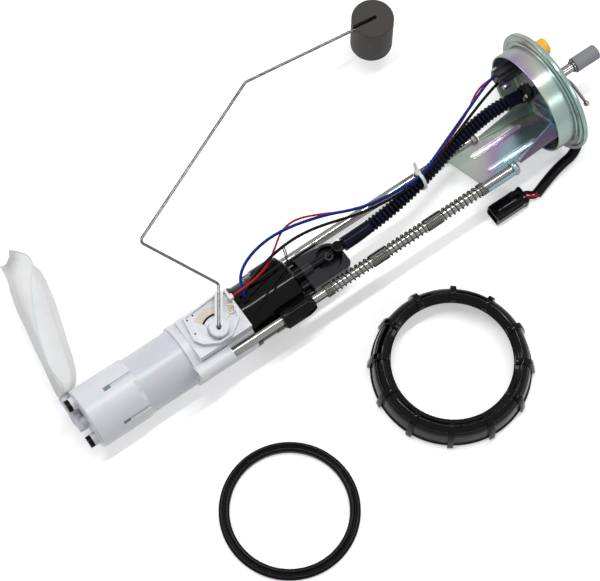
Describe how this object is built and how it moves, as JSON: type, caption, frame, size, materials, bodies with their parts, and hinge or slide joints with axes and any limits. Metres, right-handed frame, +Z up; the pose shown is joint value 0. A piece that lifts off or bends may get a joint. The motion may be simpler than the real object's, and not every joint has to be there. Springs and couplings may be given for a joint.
{
  "type": "fuel pump module",
  "caption": "In-tank fuel pump module: sprung reservoir on guide rods under a sealing flange, with float arm, strainer bag, fuel line, pigtail lead, loose lock ring and gasket.",
  "frame": {"origin": "on the bench, under the middle of the outline of everything but the pigtail", "axes": "+X along the module from the strainer end to the mounting flange, +Z up off the bench"},
  "size_m": [0.5341, 0.3682, 0.11],
  "materials": {
    "zinc_plate": "iridescent zinc plating",
    "bright_steel": "polished",
    "spring_steel": "bright wire",
    "white_plastic": "satin",
    "translucent_plastic": "milky",
    "black_plastic": "satin",
    "dark_plastic": "satin",
    "black_rubber": "matte",
    "hose_nylon": "gloss",
    "grey_cap": "matte",
    "yellow_cap": "satin",
    "sock_cloth": "fine mesh",
    "filter_paper": "pleated",
    "float_foam": "matte",
    "blue_insulation": "gloss",
    "red_insulation": "gloss",
    "black_insulation": "gloss",
    "clear_nylon": "milky",
    "ceramic": "matte",
    "brass": "satin",
    "pump_steel": "satin",
    "magnet_ferrite": "matte",
    "armature_steel": "satin"
  },
  "bodies": {
    "flange_assembly": {"flange": "zinc_plate", "bracket": "zinc_plate", "guide_rod_near": "bright_steel", "guide_rod_far": "bright_steel", "outlet_pipe": "bright_steel", "vent_tube": "bright_steel", "valve_stub": "bright_steel", "bulkhead_connector": "black_plastic", "lead_connector": "dark_plastic", "pigtail_gland": "black_rubber", "pigtail_sheath": "black_rubber", "pigtail_leads": "red_insulation", "pigtail_plug": "black_plastic", "fuel_hose": "hose_nylon", "clamp_band": "bright_steel", "clamp_screw": "bright_steel", "spring": "spring_steel", "wire_blue": "blue_insulation", "wire_red": "red_insulation", "wire_black": "black_insulation", "cable_tie": "clear_nylon", "gasket": "black_rubber"},
    "lock_ring": {"lock_ring": "black_plastic"},
    "outlet_cap": {"outlet_cap": "grey_cap"},
    "valve_cap": {"valve_cap": "yellow_cap"},
    "reservoir": {"canister": "translucent_plastic", "bottom_cap": "white_plastic", "rubber_feet": "black_rubber", "strainer_duct": "black_plastic", "strainer_sock": "sock_cloth", "upper_housing": "white_plastic", "filter_housing": "black_plastic", "filter_element": "filter_paper", "pressure_regulator": "dark_plastic", "snap_ring": "spring_steel", "outlet_elbow": "dark_plastic", "elbow_clip": "dark_plastic", "pump_case": "pump_steel", "pump_magnets": "magnet_ferrite", "pump_isolator": "black_rubber", "sender_frame": "white_plastic", "resistor_card": "ceramic", "sender_screw": "brass", "sender_terminal": "white_plastic", "pump_terminal": "black_plastic"},
    "pump_rotor": {"pump_rotor": "armature_steel"},
    "float_arm": {"arm_hub": "white_plastic", "contact_blade": "brass", "float_arm_wire": "bright_steel", "float": "float_foam"}
  },
  "joints": [
    {"name": "reservoir_slide", "type": "slide", "parent": "flange_assembly", "child": "reservoir", "axis": [1, 0, 0], "range_m": [0, 0.06], "stiffness_N_per_m": 120, "deforming": ["spring", "fuel_hose", "wire_blue", "wire_red", "wire_black"]},
    {"name": "float_arm_pivot", "type": "hinge", "parent": "reservoir", "child": "float_arm", "pos_m": [-0.1323, 0.0137, 0.065], "axis": [0, 0, 1], "range_deg": [-3, 78]},
    {"name": "pump_spin", "type": "hinge", "parent": "reservoir", "child": "pump_rotor", "pos_m": [-0.2, 0.0215, 0.0276], "axis": [1, 0, 0], "continuous": true},
    {"name": "lock_ring_turn", "type": "hinge", "parent": "flange_assembly", "child": "lock_ring", "pos_m": [0.015, -0.1042, 0.012], "axis": [0, 0, 1], "continuous": true},
    {"name": "outlet_cap_pull", "type": "slide", "parent": "flange_assembly", "child": "outlet_cap", "axis": [1, 0, 0], "range_m": [0, 0.03]},
    {"name": "valve_cap_pull", "type": "slide", "parent": "flange_assembly", "child": "valve_cap", "axis": [1, 0, 0], "range_m": [0, 0.02]}
  ]
}
